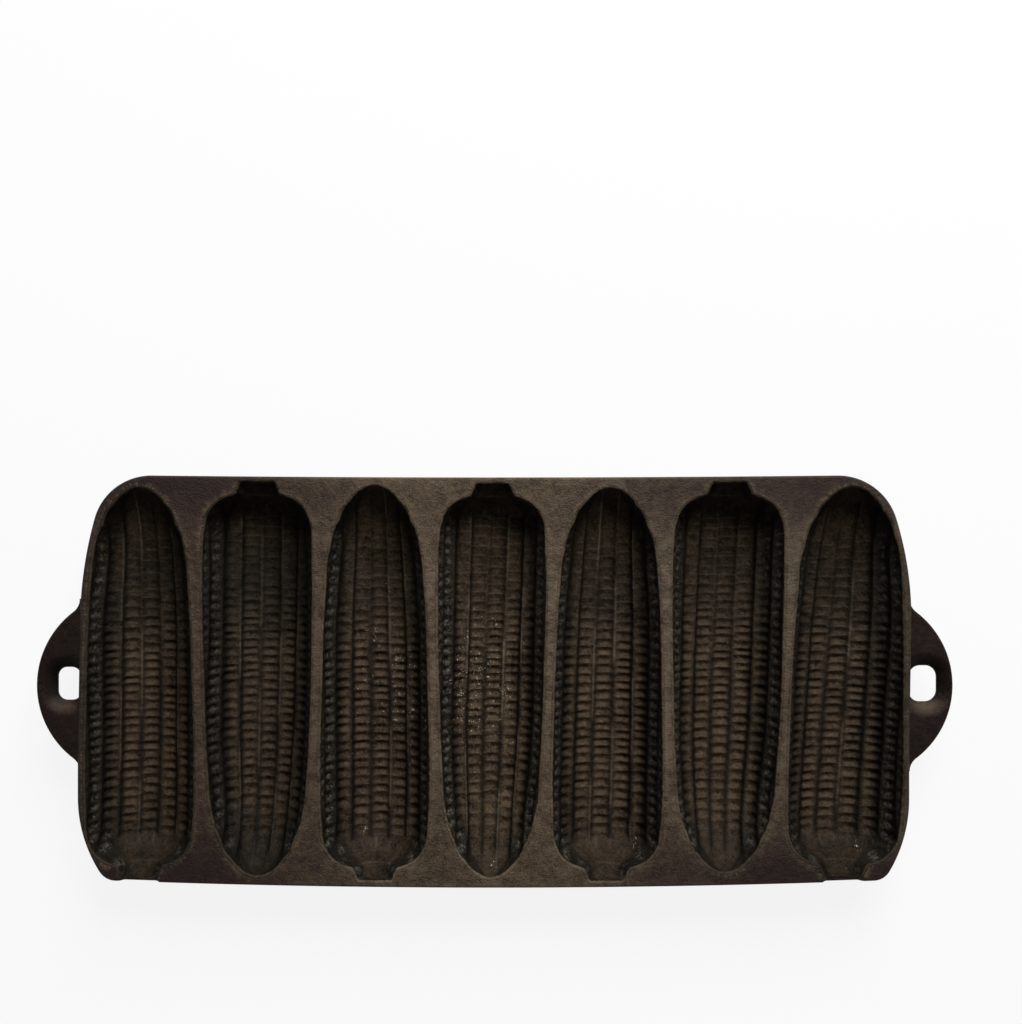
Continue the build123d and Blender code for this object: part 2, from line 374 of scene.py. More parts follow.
def ripple(points, seed, height, waves, shortest, longest):
    """Gentle unevenness of a casting: a sum of waves that run in many directions."""
    draw = np.random.default_rng(seed)
    total = np.zeros(len(points))
    for _ in range(waves):
        way = draw.normal(size=3)
        way /= np.linalg.norm(way)
        length = draw.uniform(shortest, longest)
        total += np.sin(2 * math.pi * (points @ way / length + draw.uniform()))
    return height * (total / math.sqrt(waves))


def grid_faces(rows, columns):
    """The quads of a sheet of points, row by row."""
    index = np.arange(rows * columns).reshape(rows, columns)
    quads = np.stack([index[:-1, :-1], index[:-1, 1:], index[1:, 1:], index[1:, :-1]], axis=-1)
    return quads.reshape(-1, 4)


def mould_turn(number):
    """1 for a mould whose tip is at the pan's far edge, -1 for one turned end for end."""
    return 1 if number % 2 else -1


def half_round(width, angle, along):
    """Points on a half-round of each width, at each angle from its floor."""
    turn = np.radians(angle)
    return np.stack([width * np.sin(turn), along, -width * np.cos(turn)], axis=-1)


def lip_side(base, plain, side):
    """The lip along one side of the mould, from the wall's top out to the flat of the deck."""
    way = profile_normals * (side, 1)
    rows = []
    for turn in lip_turns[1:]:
        level = base[:, :2] + way * (lip_round * (1 - math.cos(turn)))
        rows.append(np.column_stack([level, base[:, 2] * (1 - math.sin(turn))]))
    spare = lip_margin + scallop_margin * smooth_step(profile[:, 1], *scallop_start)
    spare -= scallop_margin * smooth_step(profile[:, 1], *scallop_end)
    rows.append(np.column_stack([plain + way * (lip_round + spare)[:, None], np.zeros(len(base))]))
    return rows


def mould_skin(number):
    """One mould's inside and lip in its own frame: points, faces, attributes and the lip's outer loop."""
    steep = np.degrees(np.arccos(np.clip(lip_round / profile[:, 0], 0, 1)))
    angle = steep[:, None] * np.linspace(-1, 1, skin_columns + 1)
    width, t = (np.repeat(part[:, None], skin_columns + 1, axis=1) for part in profile.T)
    up = 1 - t / ear_length if mould_turn(number) > 0 else t / ear_length
    relief, worn, sunk, ashen = kernel_marks(t, angle, width, number, up)

    plain = half_round(width, angle, t)
    flat = plain.reshape(-1, 3)
    uneven = sum(ripple(flat, skin_seeds * number + step, **wave) for step, wave in enumerate(skin_waves))
    fade = smooth_step(width, *skin_end_fade)
    fade = fade * (1 - skin_lip_calm * smooth_step(np.abs(angle), *skin_lip_fade))
    kernels = kernel_depth * relief * np.clip(width / ear_radius, 0, 1) ** 0.5
    sink = (kernels + uneven.reshape(t.shape)) * fade
    out, on = profile_normals[:, :1], profile_normals[:, 1:]
    skin = half_round(width + out * sink, angle, t + on * sink)

    left = lip_side(skin[:, 0], plain[:, 0, :2], -1)
    right = lip_side(skin[:, -1], plain[:, -1, :2], 1)
    sheet = np.stack([*left[::-1], *skin.transpose(1, 0, 2), *right], axis=1)
    rows, columns = sheet.shape[:2]
    lips = np.tile(lip_worn, (rows, 1))
    none = np.zeros_like(lips)
    held = {
        "worn": np.hstack([lips, worn, lips[:, ::-1]]).ravel(),
        "sunk": np.hstack([none, sunk, none]).ravel(),
        "ashen": np.hstack([none, ashen, none]).ravel(),
    }
    loop = np.vstack([sheet[:, 0], sheet[::-1, -1][1:-1]])
    sheet, loop = (points * (1, -1, 1) + (0, ear_tip, 0) for points in (sheet.reshape(-1, 3), loop))
    return sheet, grid_faces(rows, columns)[:, ::-1], held, loop


def mould_middle(number, y):
    """Where a mould's middle lies across the pan, at each place along it."""
    return ear_places[number - 1] + mould_shifts[number - 1] + mould_leans[number - 1] * y


def into_pan(points, number):
    """From a mould's own frame to the pan's, where each mould has its own ends, breadth and lean."""
    turn = mould_turn(number)
    tip, end = mould_tips[number - 1], mould_ends[number - 1]
    from_tip = (ear_tip - points[:, 1]) * (tip + end) / ear_length
    own = np.column_stack([points[:, 0] * mould_breadths[number - 1], tip - from_tip, points[:, 2]])
    own = own * (turn, turn, 1) + (0, 0, deck_top)
    own[:, 0] += mould_middle(number, own[:, 1])
    return own


# The deck's outline, which the moulds' undersides end on: long edges that bow a little, ends
# that are straight in the middle, and corners rounder at the far edge than at the near one.
deck_end = 153.2
deck_edge = 76.05
under_inset = 1.2
top_edge_dip = 0.9
bottom_edge_bow = 2.7
end_straight_above = 22.0
end_straight_below = 43.0
end_radius_above = 135.0
end_radius_below = 52.0
top_corner_radius = 22.0
bottom_corner_radius = 7.0
deck_sway = 0.45
outline_spacing = 0.9


def meeting(first, first_radius, second, second_radius):
    """Where two circles cross, at the right-hand crossing."""
    apart = np.subtract(second, first)
    span = math.hypot(*apart)
    along = (first_radius**2 - second_radius**2 + span**2) / (2 * span)
    aside = math.sqrt(first_radius**2 - along**2)
    ahead = apart / span
    places = [first + ahead * along + np.array((-ahead[1], ahead[0])) * aside * turn for turn in (-1, 1)]
    return max(places, key=lambda place: place[0])


def arc(middle, start, end, spacing):
    """Points round a circle from start towards end, the short way, without the last."""
    first = math.atan2(start[1] - middle[1], start[0] - middle[0])
    last = math.atan2(end[1] - middle[1], end[0] - middle[0])
    sweep = (last - first + math.pi) % (2 * math.pi) - math.pi
    radius = math.hypot(start[0] - middle[0], start[1] - middle[1])
    steps = max(2, round(abs(sweep) * radius / spacing))
    turns = first + sweep * np.arange(steps) / steps
    return np.column_stack([middle[0] + radius * np.cos(turns), middle[1] + radius * np.sin(turns)])


def deck_corner(edge_middle, edge_radius, reach, end_middle, end_radius, corner_radius):
    """A corner's own middle, and where it touches the long edge and the end's arc."""
    middle = meeting(end_middle, end_radius - corner_radius, edge_middle, reach)
    on_end = end_middle + (middle - end_middle) * end_radius / (end_radius - corner_radius)
    on_edge = edge_middle + (middle - edge_middle) * edge_radius / reach
    return middle, on_edge, on_end


def loop_normals(loop):
    """The outward normals of a closed clockwise loop."""
    return along_normals(np.roll(loop, -1, axis=0) - np.roll(loop, 1, axis=0))


def deck_outline():
    """The deck's outline, clockwise from the middle of its far edge."""
    above = np.array((deck_end - end_radius_above, end_straight_above))
    below = np.array((deck_end - end_radius_below, -end_straight_below))
    top_reach = above[0] + math.sqrt(end_radius_above**2 - (deck_edge - end_straight_above) ** 2)
    top_radius = (top_reach**2 + top_edge_dip**2) / (2 * top_edge_dip)
    top_middle = np.array((0, deck_edge - top_edge_dip + top_radius))
    low_rise = deck_edge - bottom_edge_bow - end_straight_below
    low_reach = below[0] + math.sqrt(end_radius_below**2 - low_rise**2)
    low_radius = (low_reach**2 + bottom_edge_bow**2) / (2 * bottom_edge_bow)
    low_middle = np.array((0, low_radius - deck_edge))
    top_turn, top_edge, top_end = deck_corner(
        top_middle,
        top_radius,
        top_radius + top_corner_radius,
        above,
        end_radius_above,
        top_corner_radius,
    )
    low_turn, low_edge, low_end = deck_corner(
        low_middle,
        low_radius,
        low_radius - bottom_corner_radius,
        below,
        end_radius_below,
        bottom_corner_radius,
    )
    ends = np.array([(deck_end, end_straight_above), (deck_end, -end_straight_below)])
    straight = evenly(ends, outline_spacing)
    right = np.vstack([
        arc(top_middle, (0, deck_edge - top_edge_dip), top_edge, outline_spacing),
        arc(top_turn, top_edge, top_end, outline_spacing),
        arc(above, top_end, straight[0], outline_spacing),
        straight[:-1],
        arc(below, straight[-1], low_end, outline_spacing),
        arc(low_turn, low_end, low_edge, outline_spacing),
        arc(low_middle, low_edge, (0, -deck_edge), outline_spacing),
        [(0, -deck_edge)],
    ])
    outline = np.vstack([right, right[-2:0:-1] * (-1, 1)])
    outline[:, 0] += deck_sway * np.sin(math.pi * outline[:, 1] / deck_edge)
    return outline


outline = deck_outline()
outline_normals = loop_normals(outline)
foot_line = outline - outline_normals * under_inset

# The moulds' undersides: plain round cups a wall thicker than the hollows, which run into their
# neighbours and the deck's underside with a soft crease, and end in the flats they stand on.
cup_wall = 3.8
cup_columns = 72
margin_columns = 8
cup_row_spacing = 0.8
cup_shares = (0.0003, 0.92)
cup_crowding = 1.5
cup_samples = 900
cup_slope_step = 0.02
cup_line_samples = 1500
crease_round = 3.0
past_end = 2.0
past_edge = 78
past_edge_rows = 4
cup_waves = {"height": 0.08, "waves": 30, "shortest": 6, "longest": 20}
cup_seed = 50
cup_flat_margin = 0.2
points_at_once = 2000


def inside(points, loop):
    """Which points lie inside a closed loop, by how often a ray from each crosses it."""
    x0, y0 = loop[:, 0], loop[:, 1]
    x1, y1 = np.roll(x0, -1), np.roll(y0, -1)
    result = np.zeros(len(points), bool)
    for start in range(0, len(points), points_at_once):
        some = slice(start, start + points_at_once)
        px, py = points[some, 0, None], points[some, 1, None]
        spans = (y0 > py) != (y1 > py)
        with np.errstate(divide="ignore", invalid="ignore"):
            crossed = spans & (px < (x1 - x0) * (py - y0) / (y1 - y0) + x0)
        result[some] = crossed.sum(axis=1) % 2 == 1
    return result


def nearest(points, line):
    """Each point's distance to the nearest of a line's points, and which it is."""
    distance, index = np.zeros(len(points)), np.zeros(len(points), int)
    for start in range(0, len(points), points_at_once):
        some = slice(start, start + points_at_once)
        gaps = np.hypot(*(points[some, None, :2] - line[None, :, :2]).transpose(2, 0, 1))
        index[some] = gaps.argmin(axis=1)
        distance[some] = gaps.min(axis=1)
    return distance, index


def cup_radius(along):
    """The cup's outside radius at each place along it, a wall thicker than the mould."""
    t = ear_length * np.linspace(*cup_shares, cup_samples) ** cup_crowding
    slope = (half_width(t + cup_slope_step) - half_width(t - cup_slope_step)) / (2 * cup_slope_step)
    lean = cup_wall / np.hypot(1, slope)
    past = ear_length + cup_wall
    stalk_radii = [stalk_root_half_width + cup_wall, stalk_end_half_width + cup_wall, 0]
    radius = np.concatenate([[0], half_width(t) + lean, stalk_radii])
    place = np.concatenate([[-cup_wall], t - slope * lean, [stalk_root + cup_wall, past, past]])
    return np.interp(along, np.maximum.accumulate(place), radius, left=0, right=0)


def cup_half_width(number, y):
    """Half a cup's width at each place along it."""
    return cup_radius(ear_tip - y * mould_turn(number)) * mould_breadths[number - 1]


def fuller(first, second, softness):
    """The larger of two depths, with a soft run where they are near alike."""
    close = np.clip(softness - np.abs(first - second), 0, None) / softness
    return np.maximum(first, second) + close * close * softness / 4


def cup_depth(x, y):
    """How far the pan's underside lies below the deck's top at each place."""
    depth = np.full(x.shape, deck_thickness)
    for number, breadth in enumerate(mould_breadths, 1):
        radius = cup_radius(ear_tip - y * mould_turn(number))
        across = (x - mould_middle(number, y)) / breadth
        bulge = np.sqrt(np.clip(radius**2 - across**2, 0, None))
        depth = np.where(bulge > 0, fuller(depth, bulge, crease_round), depth)
    return np.minimum(depth, deck_top)


def field_side(number, side, y):
    """Where a cup's surface meets its neighbour's, or a line past the deck's end."""
    other = number + side
    if other not in ear_numbers:
        return np.full(len(y), side * (deck_end + past_end))
    own, beside = (cup_half_width(n, y) for n in (number, other))
    place = mould_middle(number, y)
    half_gap = np.abs(mould_middle(other, y) - place) / 2
    met = own + beside > 2 * half_gap
    shift = np.where(met, (own**2 - beside**2) / (4 * half_gap), (own - beside) / 2)
    return place + side * (half_gap + shift)


def cup_skin(number):
    """The underside of one mould, out to its neighbours and the deck's edge."""
    turn = mould_turn(number)
    along = np.linspace(-cup_wall, ear_length + cup_wall, cup_line_samples)
    line = evenly(np.column_stack([cup_radius(along), along]), cup_row_spacing)
    y = (ear_tip - line[:, 1]) * turn
    before = np.linspace(turn * past_edge, y[0], past_edge_rows)[:-1]
    after = np.linspace(y[-1], -turn * past_edge, past_edge_rows)[1:]
    y = np.concatenate([before, y, after])
    left, right = field_side(number, -1, y)[:, None], field_side(number, 1, y)[:, None]
    half = cup_half_width(number, y)[:, None]
    bearing = np.sin(np.linspace(-math.pi / 2, math.pi / 2, cup_columns + 1))
    cup = mould_middle(number, y)[:, None] + half * bearing
    share = np.linspace(0, 1, margin_columns + 1)
    from_left = left + (cup[:, :1] - left) * share[:-1]
    to_right = cup[:, -1:] + (right - cup[:, -1:]) * share[1:]
    x = np.clip(np.hstack([from_left, cup, to_right]), left, right)
    rows, columns = x.shape
    flat = np.column_stack([x.ravel(), np.repeat(y, columns)])
    out = ~inside(flat, foot_line)
    gap, index = nearest(flat, foot_line)
    flat[out] = foot_line[index[out]]
    depth = cup_depth(flat[:, 0], flat[:, 1])
    uneven = np.abs(ripple(np.column_stack([flat, depth]), cup_seed, **cup_waves))
    uneven = uneven * smooth_step(depth, deck_thickness, deck_thickness + crease_round)
    depth = depth - uneven * (depth < deck_top - cup_flat_margin)
    depth[out & (gap > cup_row_spacing)] = deck_thickness
    return np.column_stack([flat, deck_top - depth]), grid_faces(rows, columns)[:, ::turn], {}


# The iron itself, one finish for moulds, deck and lugs, in tones of their own: broad shades,
# patches, specks and sand grain make its mottle, and the last three its bumps.
broad_noise = {"size": 30, "detail": 2.0, "roughness": 0.55}
patch_noise = {"size": 5, "detail": 4.0, "roughness": 0.65}
speck_noise = {"size": 1.5, "detail": 3.0, "roughness": 0.7}
sand_noise = {"size": 0.6, "detail": 2.0, "roughness": 0.7}
mottle_run = (0.38, 0.62)
broad_mottle = 0.12
patch_mottle = 0.28
speck_mottle = 0.28
sand_mottle = 0.32
patch_bumps = 0.8
speck_bumps = 0.7
sand_bumps = 0.6
scuff_run = (0.3, 0.6)
scuff_least = 0.3
darkened_most = 0.93
specks_to_sand = (0.6, 0.4)
# Grey specks painted as highlights on the walls' kernels.
wall_highlight_run = (0.45, 0.57)
wall_highlight_colour = (110, 106, 98)
# Pale specks painted as glints.
glint_run = (0.7, 0.74)
glint_gain = 0.2
glint_most = 0.8
glint_colour = (215, 206, 188)
gloss_specks = 0.3
gloss_worn = 0.06


class Finish:
    """A socket of a material's nodes. Sums of them, and of numbers, add the nodes they need."""

    def __init__(self, tree, socket=None):
        self.tree = tree
        self.socket = socket

    def node(self, kind, settings=None, values=None, output=0):
        """Adds a node: its settings first, and then its sockets' values or links."""
        made = self.tree.nodes.new(kind)
        for key, setting in (settings or {}).items():
            setattr(made, key, setting)
        for key, value in (values or {}).items():
            if isinstance(value, Finish):
                self.tree.links.new(value.socket, made.inputs[key])
            else:
                made.inputs[key].default_value = value
        return Finish(self.tree, made.outputs[output])

    def math(self, operation, *terms):
        return self.node("ShaderNodeMath", {"operation": operation}, dict(enumerate(terms)))

    def __add__(self, other):
        return self.math("ADD", self, other)

    def __sub__(self, other):
        return self.math("SUBTRACT", self, other)

    def __rsub__(self, other):
        return self.math("SUBTRACT", other, self)

    def __mul__(self, other):
        return self.math("MULTIPLY", self, other)

    __radd__ = __add__
    __rmul__ = __mul__

    def rise(self, start, end):
        """0 below start, 1 above end."""
        values = {"Value": self, "From Min": start, "From Max": end}
        return self.node("ShaderNodeMapRange", {"interpolation_type": "SMOOTHSTEP"}, values)

    def blend(self, low, high):
        """A colour between two, by this value."""
        return self.node("ShaderNodeMix", {"data_type": "RGBA"}, {0: self, 6: low, 7: high}, output=2)

    def surface(self, kind="ShaderNodeOutputMaterial"):
        """Gives this shader to its material, or to the world."""
        output = self.tree.nodes.new(kind)
        self.tree.links.new(self.socket, output.inputs["Surface"])


def emptied(owner):
    """The node tree of a material or the world, with nothing in it yet."""
    owner.use_nodes = True
    owner.node_tree.nodes.clear()
    return Finish(owner.node_tree)


def colour(*seen):
    """A colour given as it is seen on a screen, red, green and blue from 0 to 255."""
    shares = [part / 255 for part in seen]
    linear = [((part + 0.055) / 1.055) ** 2.4 if part > 0.04 else part / 12.92 for part in shares]
    return (*linear, 1.0)


def seasoned_iron(name, low, high, rubbed_and_highlight, darkened_colour, rough, grain, gloss):
    """Oil-blackened cast iron: two tones in patches, sand grain, paler with wear and painted highlights,
    darker with painted shade, and painted glints.
    """
    material = bpy.data.materials.new(name)
    sheet = emptied(material)
    place = sheet.node("ShaderNodeTexCoord", output="Object")

    def noise(size, detail, roughness):
        values = {"Vector": place, "Scale": 1 / (size * mm), "Detail": detail, "Roughness": roughness}
        return sheet.node("ShaderNodeTexNoise", {}, values)

    def held(name):
        return sheet.node("ShaderNodeAttribute", {"attribute_name": name}, output="Fac")

    noises = (broad_noise, patch_noise, speck_noise, sand_noise)
    broad, patches, specks, sand = (noise(**each) for each in noises)
    worn, sunk, ashen, crumbs = (held(each) for each in ("worn", "sunk", "ashen", "crumbs"))
    mottle = broad.rise(*mottle_run) * broad_mottle + patches.rise(*mottle_run) * patch_mottle
    mottle += specks.rise(*mottle_run) * speck_mottle + sand.rise(*mottle_run) * sand_mottle
    tone = mottle.blend(low, high)
    # Paler with wear, and with painted highlights and sheen.
    tone = (worn * (patches.rise(*scuff_run) * (1 - scuff_least) + scuff_least)).blend(tone, rubbed_and_highlight)
    # Darker where the iron is darkened and where shade is painted.
    tone = (sunk * darkened_most).blend(tone, darkened_colour)
    grit = specks * specks_to_sand[0] + sand * specks_to_sand[1]
    # Grey specks painted as highlights on the walls' kernels.
    tone = (ashen * grit.rise(*wall_highlight_run)).blend(tone, colour(*wall_highlight_colour))
    # Pale specks painted as glints.
    grit = sand * specks_to_sand[0] + specks * specks_to_sand[1] + crumbs * glint_gain
    tone = (grit.rise(*glint_run) * glint_most).blend(tone, colour(*glint_colour))
    shine = (specks - 0.5) * gloss_specks + rough - worn * gloss_worn
    height = sand * sand_bumps + specks * speck_bumps + patches * patch_bumps
    bump = sheet.node("ShaderNodeBump", {}, {"Height": height, "Distance": grain * mm, "Strength": 1.0})
    values = {"Base Color": tone, "Roughness": shine, "Normal": bump, "IOR": gloss}
    sheet.node("ShaderNodeBsdfPrincipled", {}, values).surface()
    return material


mould_iron = seasoned_iron(
    "mould_iron",
    low=colour(16, 11, 7),
    high=colour(93, 77, 59),
    rubbed_and_highlight=colour(118, 106, 90),
    darkened_colour=colour(6, 7, 6),
    rough=0.6,
    grain=0.6,
    gloss=1.2,
)

# Where painted glints lie: small heaps of them at a place and of a radius, and a thin scatter
# round one more. They stay off the lips, and darkening and painted shade hide some of them.
glint_heaps = (
    (-47.8, 15.3, 5.5),
    (-36.3, 5.7, 5.5),
    (-31.2, 3.5, 3.0),
    (-0.7, 20.0, 3.0),
    (-5.2, 2.9, 3.5),
    (3.7, -6.3, 4.5),
    (136.8, -64.0, 2.8),
    (53.5, -63.2, 2.8),
    (-49.5, -59.0, 3.2),
    (-1.3, -69.0, 2.2),
)
glint_scatter = (-20.0, -5.0, 42.0)
heap_weight = 0.75
scatter_weight = 0.6
glint_patches = [*((*heap, heap_weight) for heap in glint_heaps), (*glint_scatter, scatter_weight)]
glints_hidden = 0.4

# Where the stalks of the two outer moulds run out through the deck's near edge, as far aside
# of each mould's middle and as near to that edge as these say.
notch_aside = (5.8, 7.6)
notch_run = (70.8, 73.0)
notch_depth = 2.0
notch_skin = 0.2
notch_oil = 0.75

# Baked-on oil and painted shade on the deck, darker towards its ends and edges: how dark each
# zone is, and the runs over which it sets in towards the sides of the pan that they name. The
# end zones paint shade on the rims at the pan's ends.
oil_and_shade_zones = (
    (0.2, ("ends", 75, 115)),
    (0.42, ("left", 30, 110)),
    (0.35, ("near", 45, 72), ("ends", 20, 90)),
    (0.4, ("near", 50, 70), ("right", 20, 60)),
    (0.3, ("far", 50, 72), ("ends", 30, 80)),
    (0.3, ("far", 45, 70), ("right", 25, 60)),
)
end_shade_zones = ((0.85, ("left", 145, 150)), (0.6, ("right", 147, 151)))
oil_and_shade_most = 0.95
lip_oil_and_shade = 0.85
lip_slack = 0.05
weld_reach = 0.002


def glints_at(points):
    """How thick the painted glints lie at each place."""
    thick = np.zeros(len(points))
    for x, y, radius, weight in glint_patches:
        away = np.hypot(points[:, 0] - x, points[:, 1] - y) / radius
        thick = np.maximum(thick, weight * np.exp(-(away**2)))
    return thick


def notch_share(points):
    """1 where an outer mould's stalk runs out through the deck's near edge, 0 elsewhere."""
    share = np.zeros(len(points))
    for number in (ear_numbers[0], ear_numbers[-1]):
        aside = np.abs(points[:, 0] - mould_middle(number, points[:, 1]))
        share += 1 - smooth_step(aside, *notch_aside)
    return share * smooth_step(-points[:, 1], *notch_run)


def notched(points):
    """The same points, lowered where an outer mould's stalk runs out."""
    lowered = points.copy()
    upper = smooth_step(points[:, 2], deck_foot, deck_top - notch_skin)
    lowered[:, 2] -= notch_depth * notch_share(points) * upper
    return lowered


def oil_and_shade_share(points):
    """How dark with baked-on oil and painted shade the deck is at each place."""
    x, y = points[:, 0], points[:, 1]
    towards = {"ends": np.abs(x), "left": -x, "right": x, "near": -y, "far": y}

    def zone(share, *runs):
        for side, start, end in runs:
            share = share * smooth_step(towards[side], start, end)
        return share

    darkening = sum(zone(*each) for each in oil_and_shade_zones)
    for each in end_shade_zones:
        darkening = np.maximum(darkening, zone(*each))
    return np.maximum(np.minimum(darkening, oil_and_shade_most), notch_oil * notch_share(points))


def placed(name, data):
    """An object of a mesh, lamp or camera, put in the scene."""
    thing = bpy.data.objects.new(name, data)
    bpy.context.scene.collection.objects.link(thing)
    return thing


def casting(name, parts, material):
    """Joins sheets of points, faces and attributes, and welds their edges, into one piece."""
    mesh = bpy.data.meshes.new(name)
    corners, faces = [], []
    for points, own_faces, _ in parts:
        faces += [[int(corner) + len(corners) for corner in face] for face in own_faces]
        corners += (points * mm).tolist()
    mesh.from_pydata(corners, [], faces)
    for key in sorted({key for _, _, held in parts for key in held}):
        values = [held.get(key, np.zeros(len(points))) for points, _, held in parts]
        kept = mesh.attributes.new(key, "FLOAT", "POINT")
        kept.data.foreach_set("value", np.concatenate(values).astype(np.float32))
    shape = bmesh.new()
    shape.from_mesh(mesh)
    bmesh.ops.remove_doubles(shape, verts=shape.verts, dist=weld_reach * mm)
    shape.to_mesh(mesh)
    shape.free()
    mesh.shade_smooth()
    mesh.materials.append(material)
    piece = placed(name, mesh)
    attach(piece, "root")
    return piece


mould_loops = []
for number in ear_numbers:
    points, faces, held, loop = mould_skin(number)
    points = into_pan(points, number)
    lip = points[:, 2] > deck_top - lip_round - lip_slack
    # The lips take the deck's oil and painted shade; painted glints stay off the lips, and darkening hides
    # some.
    held["sunk"] = np.maximum(held["sunk"], lip_oil_and_shade * oil_and_shade_share(points) * lip)
    held["worn"] *= 1 - notch_share(points)
    held["crumbs"] = glints_at(points) * (1 - glints_hidden * held["sunk"]) * ~lip
    mould_loops.append(notched(into_pan(loop, number)))
    mould = casting(f"ear_mould_{number}", [(notched(points), faces, held), cup_skin(number)], mould_iron)
    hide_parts(f"ear_cup_{number}")

# Deck: the flat plate that joins the moulds, with its rounded outer edge. Cast in one with
# them and machined nowhere, it is browner than the hollows, rubbed pale at the brink, and paler
# in its middle with wear and a painted sheen.
edge_round = 0.9
under_round = 0.7
round_steps = 6
brink_margin = 0.08
deck_spacing = 2.4
foot_spacing = 20
edge_clearance = 1 / 3
join_reach = 1e-6
sharp_angle = 60
rim_worn = 0.2
rim_worn_height = 2
lip_rubbed = 0.3
lip_rubbed_run = (0.1, 0.7)
brink_rubbed = 0.2
brink_rubbed_run = (0.9, 2.5)
middle_wear_and_sheen = 0.5
middle_place = (45, 5)
middle_across = (70, 130)
middle_along = (25, 60)
deck_iron = seasoned_iron(
    "deck_iron",
    low=colour(38, 27, 24),
    high=colour(99, 84, 65),
    rubbed_and_highlight=colour(116, 104, 88),
    darkened_colour=colour(27, 12, 14),
    rough=0.62,
    grain=0.6,
    gloss=1.3,
)


def flat_face(outer, holes, height, spacing, facing):
    """A level sheet inside a loop and round its holes, with the loops' own points on its edges."""
    loops = [outer[:, :2], *[hole[:, :2] for hole in holes]]

    def in_sheet(points):
        return inside(points, loops[0]) & ~np.any([inside(points, hole) for hole in loops[1:]], axis=0)

    low, high = loops[0].min(axis=0), loops[0].max(axis=0)
    across, up = np.meshgrid(np.arange(low[0], high[0], spacing), np.arange(low[1], high[1], spacing))
    across[::2] += spacing / 2
    filling = np.column_stack([across.ravel(), up.ravel()])
    filling = filling[in_sheet(filling)]
    filling = filling[nearest(filling, np.vstack(loops))[0] > spacing * edge_clearance]
    edges = []
    start = 0
    for loop in loops:
        corners = np.arange(len(loop)) + start
        edges += np.column_stack([corners, np.roll(corners, -1)]).tolist()
        start += len(loop)
    points = [Vector(point) for point in np.vstack([*loops, filling])]
    flat, _, faces, *_ = delaunay_2d_cdt(points, edges, [], 0, join_reach)
    flat = np.array([tuple(point) for point in flat])
    faces = np.array([list(face) for face in faces])
    faces = faces[in_sheet(flat[faces].mean(axis=1))]
    a, b, c = (flat[faces[:, k]] for k in range(3))
    turned = np.cross(b - a, c - a) * facing < 0
    faces[turned] = faces[turned][:, ::-1]
    return np.column_stack([flat, np.full(len(flat), height)]), faces.tolist(), {}


def edge_section(round_above, round_below, thickness, inset_below):
    """A rounded edge in section, from the top face round to the foot."""
    turns = np.linspace(0, math.pi / 2, round_steps)
    section = [(-round_above - brink_margin, 0.0)]
    section += [(round_above * (math.sin(a) - 1), round_above * (math.cos(a) - 1)) for a in turns]
    section += [(round_below * (math.cos(a) - 1), round_below * (1 - math.sin(a)) - thickness) for a in turns]
    return section + [(-inset_below, -thickness)]


def closed_sheet(rings, turn):
    """The sheet between closed rings of points, each joined to the next."""
    sheet = np.stack(rings, axis=1)
    sheet = np.concatenate([sheet, sheet[:1]], axis=0)
    return sheet.reshape(-1, 3), grid_faces(*sheet.shape[:2])[:, ::turn], {}


def swept(loop, normals, section, height):
    """The rings of a section carried round a closed loop."""
    base = np.column_stack([loop, np.full(len(loop), height)])
    out = np.column_stack([normals, np.zeros(len(loop))])
    return [base + out * inset + (0, 0, level) for inset, level in section]


rim_section = edge_section(edge_round, under_round, deck_thickness, under_inset)
rim_rings = swept(outline, outline_normals, rim_section, deck_top)
rim_points, rim_faces, rim_held = closed_sheet(rim_rings, -1)
rim_held["worn"] = rim_worn * (rim_points[:, 2] > deck_top - rim_worn_height)
rim_held["worn"] *= 1 - notch_share(rim_points)
rim_held["sunk"] = oil_and_shade_share(rim_points)

top_points, top_faces, top_held = flat_face(rim_rings[0], mould_loops, deck_top, deck_spacing, 1)
lip_gap = nearest(top_points, np.vstack(mould_loops))[0]
brink_gap = nearest(top_points, outline)[0]
# Paler in the middle of the deck: wear and a painted sheen.
from_middle = np.abs(top_points[:, :2] - middle_place)
middle = 1 - smooth_step(from_middle[:, 1], *middle_along)
middle = middle * (1 - smooth_step(from_middle[:, 0], *middle_across))
top_wear_and_sheen = np.maximum(lip_rubbed * (1 - smooth_step(lip_gap, *lip_rubbed_run)), middle_wear_and_sheen * middle)
top_wear_and_sheen = np.maximum(top_wear_and_sheen, brink_rubbed * (1 - smooth_step(brink_gap, *brink_rubbed_run)))
top_held["worn"] = top_wear_and_sheen * (1 - notch_share(top_points))
top_held["sunk"] = oil_and_shade_share(top_points)

deck_parts = [
    (notched(rim_points), rim_faces, rim_held),
    (notched(top_points), top_faces, top_held),
    flat_face(rim_rings[-1], mould_loops, deck_foot, foot_spacing, -1),
]
for loop in mould_loops:
    deck_parts.append(closed_sheet([loop, loop * (1, 1, 0) + (0, 0, deck_foot)], -1))
deck = casting("deck", deck_parts, deck_iron)
deck.data.set_sharp_from_angle(angle=math.radians(sharp_angle))
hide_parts("deck_plate")

